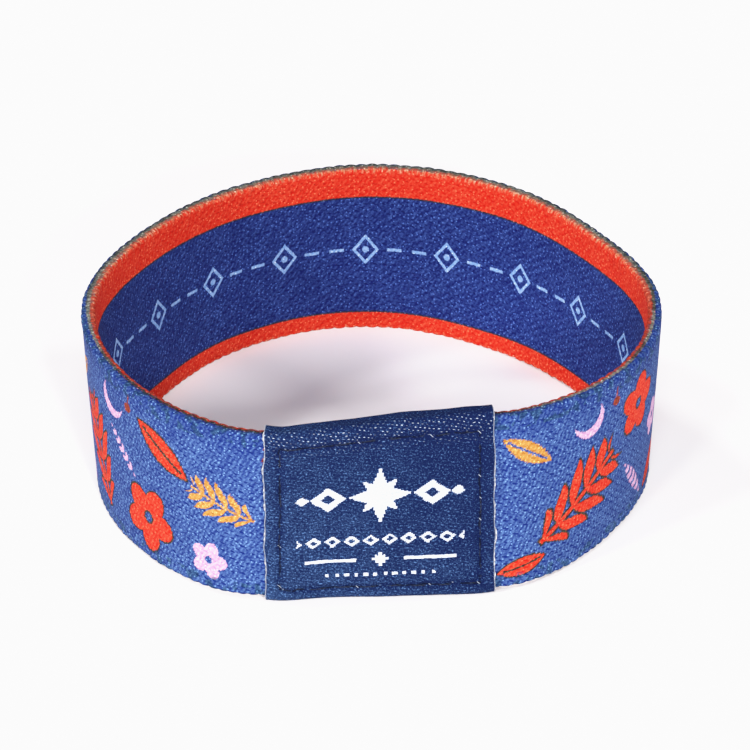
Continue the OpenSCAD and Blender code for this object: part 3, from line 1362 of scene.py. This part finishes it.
@dataclass(frozen=True)
class Stitching:
    """The lockstitches of the label's seam, front and back: each a short thread that dips at its ends.

    Args:
        form: the loop's route.
        label: the label that they are sewn through.
        name: the piece's name.
        gap: between two stitches, mm.
        dip: how far the ends go under the groove's foot, mm.
        slide: how far a stitch may lie beside its line, mm.
        radius: of the thread, mm.
        sides: points round it.
        steps: along it.
    """

    form: LoopForm
    label: WovenLabel
    name: str = "label_stitches"
    gap: float = 0.34
    dip: float = 0.12
    slide: float = 0.09
    radius: float = 0.08
    sides: int = 8
    steps: int = 12

    def runs(self) -> list[tuple[float, float, float, float]]:
        """The rectangle's sides, each from station and up to station and up."""
        seam = self.label.seam
        side, top, bottom = seam.side, seam.top, seam.bottom
        return [
            (-side, bottom, side, bottom),
            (side, bottom, side, top),
            (side, top, -side, top),
            (-side, top, -side, bottom),
        ]

    def build(self) -> bpy.types.Object:
        """Makes the mesh, a tube a stitch: it rises from its hole, runs flat and dips again."""
        mesh = GridMesh(self.name)
        chance = np.random.default_rng(31)
        share = np.linspace(0, 1, self.steps)
        rise = eased(np.clip(np.minimum(share, 1 - share) * 4.5, 0, 1))
        radius = self.radius * (0.25 + 0.75 * rise)
        radius[[0, -1]] = 0.01
        skin = self.form.band_thick / 2 + self.form.label_out - self.label.groove
        out = skin - self.dip + (self.dip + 0.01 + self.radius * 0.6) * rise
        pitch = self.label.seam.pitch
        for face in (1.0, -1.0):
            for x0, y0, x1, y1 in self.runs():
                count = round(math.hypot(x1 - x0, y1 - y0) / pitch)
                for k in range(count):
                    at = (k + self.gap / pitch / 2 + (1 - self.gap / pitch) * share) / count
                    slide = chance.uniform(-self.slide, self.slide)
                    along = x0 + (x1 - x0) * at + slide * (x0 == x1)
                    up = y0 + (y1 - y0) * at + slide * (y0 == y1)
                    path = np.stack([along, face * out, up], -1)
                    tube(mesh, self.form, path, radius, self.sides, closed=False)
        return mesh.build()


@dataclass(frozen=True)
class EdgeYarn:
    """The pale frayed thread along each cut edge of the label.

    Args:
        form: the loop's route.
        label: the label whose edges they follow.
        name: the piece's name.
        radius: of the thread, mm.
        depth: how far its middle lies under the label's outside, mm.
        steps: round the section.
        sides: points round the thread.
    """

    form: LoopForm
    label: WovenLabel
    name: str = "label_edge_yarn"
    radius: float = 0.058
    depth: float = 0.1
    steps: int = 330
    sides: int = 6

    def build(self) -> bpy.types.Object:
        """Makes the mesh: a closed tube round the section at each cut edge, wavering sideways."""
        mesh = GridMesh(self.name)
        outline = self.label.outline
        girth = np.linspace(0, outline.total, self.steps, endpoint=False)
        out, up, normal_out, normal_up = outline.at(girth)
        share = girth / outline.total
        for side, seed in ((-1.0, 41), (1.0, 51)):
            stray, flare = self.label.cut_edge(share, side)
            waver = 0.07 * value_noise(share * 60, seed, 60) + 0.04 * value_noise(share * 130, seed + 1, 130)
            sink = flare + 0.04 * value_noise(share * 50, seed + 2, 50) - self.depth
            along = side * self.form.label_half + stray + waver
            path = np.stack([along, out + normal_out * sink, up + normal_up * sink], -1)
            radius = self.radius * (1 + 0.3 * value_noise(share * 90, seed + 3, 90))
            tube(mesh, self.form, path, radius, self.sides, closed=True)
        return mesh.build()


@dataclass(frozen=True)
class Lamp:
    """A soft square light that points at the origin.

    Args:
        name: its name.
        azimuth: degrees from the camera's side, growing to its right.
        elevation: degrees above the floor.
        power: its power, W.
        distance: from the origin, m.
        size: its side, m.
    """

    name: str
    azimuth: float
    elevation: float
    power: float
    distance: float = 1.2
    size: float = 0.15

    def build(self) -> None:
        """Adds the light."""
        data = bpy.data.lights.new(self.name, "AREA")
        data.shape = "SQUARE"
        data.size = self.size
        data.energy = self.power
        lamp = bpy.data.objects.new(self.name, data)
        turn, rise = math.radians(self.azimuth), math.radians(self.elevation)
        way = Vector((math.sin(turn) * math.cos(rise), -math.cos(turn) * math.cos(rise), math.sin(rise)))
        lamp.location = way * self.distance
        lamp.rotation_euler = (-way).to_track_quat("-Z", "Y").to_euler()
        bpy.context.scene.collection.objects.link(lamp)


@dataclass(frozen=True)
class Studio:
    """A pale floor, soft light, and a long lens 30 degrees above the floor.

    Args:
        lens: focal length, mm.
        distance: from the aim to the camera, m.
        elevation: of the camera, in degrees above the floor.
        aim: where the camera points, m.
        floor_size: the floor's side, m.
        sky: brightness of the sky overhead.
        horizon: brightness of the band that low views have behind the object.
        band: where the horizon's band ends and where the sky starts, as shares of straight up.
        lamps: the lamps.
        film: points from scene light to picture light, with a soft shoulder under white.
    """

    lens: float = 572.9
    distance: float = 1.2
    elevation: float = 30.09
    aim: tuple[float, float, float] = (0.000354, 0.000096, 0.010146)
    floor_size: float = 4.0
    sky: float = 0.04
    horizon: float = 0.9
    band: tuple[float, float] = (0.1, 0.2)
    lamps: tuple[Lamp, ...] = (
        Lamp("back_left", azimuth=-130.0, elevation=50.0, power=4.9),
        Lamp("left", azimuth=-100.0, elevation=50.0, power=4.3),
        Lamp("low_left", azimuth=-50.0, elevation=25.0, power=8.8),
        Lamp("low_middle", azimuth=-25.0, elevation=25.0, power=6.1),
        Lamp("front", azimuth=0.0, elevation=50.0, power=2.9),
        Lamp("low_front", azimuth=12.0, elevation=25.0, power=19.5),
        Lamp("right", azimuth=100.0, elevation=35.0, power=5.4),
    )
    film: tuple[tuple[float, float], ...] = ((0.0, 0.0), (0.7, 0.7), (0.95, 0.88), (1.25, 0.966))

    def floor(self) -> bpy.types.Object:
        """The floor, which can't be seen from below."""
        nodes = Nodes("floor", roughness=0.9, specular=0.1)
        nodes.shader.inputs["Base Color"].default_value = linear(247, 242, 245)
        nodes.hide_behind()
        half = self.floor_size / 2
        mesh = bpy.data.meshes.new("floor")
        corners = [(-half, -half, 0), (half, -half, 0), (half, half, 0), (-half, half, 0)]
        mesh.from_pydata(corners, [], [(0, 1, 2, 3)])
        made = bpy.data.objects.new("floor", mesh)
        made.data.materials.append(nodes.material)
        bpy.context.scene.collection.objects.link(made)
        return made

    def surroundings(self) -> bpy.types.World:
        """A dim sky over a bright band along the horizon, which low views have behind the object."""
        world = bpy.data.worlds.new("surroundings")
        world.use_nodes = True
        tree = world.node_tree
        way = tree.nodes.new("ShaderNodeTexCoord")
        parts = tree.nodes.new("ShaderNodeSeparateXYZ")
        fade = tree.nodes.new("ShaderNodeMapRange")
        for name, value in enumerate((*self.band, self.horizon, self.sky), start=1):
            fade.inputs[name].default_value = value
        background = tree.nodes["Background"]
        background.inputs["Color"].default_value = (1.0, 1.0, 1.0, 1.0)
        tree.links.new(way.outputs["Generated"], parts.inputs[0])
        tree.links.new(parts.outputs["Z"], fade.inputs["Value"])
        tree.links.new(fade.outputs[0], background.inputs["Strength"])
        return world

    def develop(self, view: bpy.types.ColorManagedViewSettings) -> None:
        """Sets how light becomes picture colours.

        Args:
            view: the scene's view settings.
        """
        view.view_transform = "Standard"
        view.use_curve_mapping = True
        mapping = view.curve_mapping
        mapping.extend = "HORIZONTAL"
        white = self.film[-1][0]
        mapping.white_level = (white, white, white)
        places = [(light / white, shown) for light, shown in self.film]
        points = mapping.curves[3].points
        points[0].location = places[0]
        points[1].location = places[-1]
        for place in places[1:-1]:
            points.new(*place)
        mapping.update()

    def build(self) -> None:
        """Sets up floor, lights and camera."""
        self.floor()
        scene = bpy.context.scene
        scene.world = self.surroundings()
        for lamp in self.lamps:
            lamp.build()
        self.develop(scene.view_settings)
        data = bpy.data.cameras.new("camera")
        data.lens = self.lens
        camera = bpy.data.objects.new("camera", data)
        tilt = math.radians(self.elevation)
        back = Vector((0.0, -math.cos(tilt), math.sin(tilt)))
        camera.location = Vector(self.aim) + back * self.distance
        camera.rotation_euler = (-back).to_track_quat("-Z", "Y").to_euler()
        scene.collection.objects.link(camera)
        scene.camera = camera


def report(piece: bpy.types.Object, note: str) -> None:
    """Logs a piece's size in triangles with a note."""
    triangles = sum(len(face.vertices) - 2 for face in piece.data.polygons)
    log.info("%s: %d triangles, %s", piece.name, triangles, note)


def main() -> None:
    """Builds the studio and the pieces, declares them and writes how large they are."""
    logging.basicConfig(level=logging.INFO, format="%(message)s")
    Studio().build()
    form = LoopForm()
    section = Outline(form.half_thick, form.half_width, form.edge_round)
    sleeve = Outline(form.half_thick, form.half_width, form.edge_round + form.label_out)

    band = ElasticBand(form, section).build()
    band.data.materials.append(PrintedCloth(section).build())
    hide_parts("elastic_band")
    report(band, f"loop {form.girth:.1f} mm round outside")

    seam = Seam(side=form.label_half - 1.45, top=8.1, bottom=-8.5)
    label_form = WovenLabel(form, sleeve, seam)
    label = label_form.build()
    label.data.materials.append(LabelCloth(sleeve, form.label_half, seam).build())
    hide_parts("woven_label")
    report(label, f"sleeve {2 * form.label_half:.1f} mm wide, {sleeve.total:.1f} mm round")

    stitches = Stitching(form, label_form).build()
    navy = Thread("navy_thread", Ink(linear(3, 5, 16), linear(28, 38, 66)), ply=0.5)
    stitches.data.materials.append(navy.build())
    yarn = EdgeYarn(form, label_form).build()
    pale = Thread("pale_yarn", Ink(linear(96, 98, 116), linear(226, 226, 232)), ply=0.6)
    yarn.data.materials.append(pale.build())
    for piece in (stitches, yarn):
        report(piece, "thread on the label")
    for piece in (band, label, stitches, yarn):
        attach(piece, BODY)


if __name__ == "__main__":
    main()
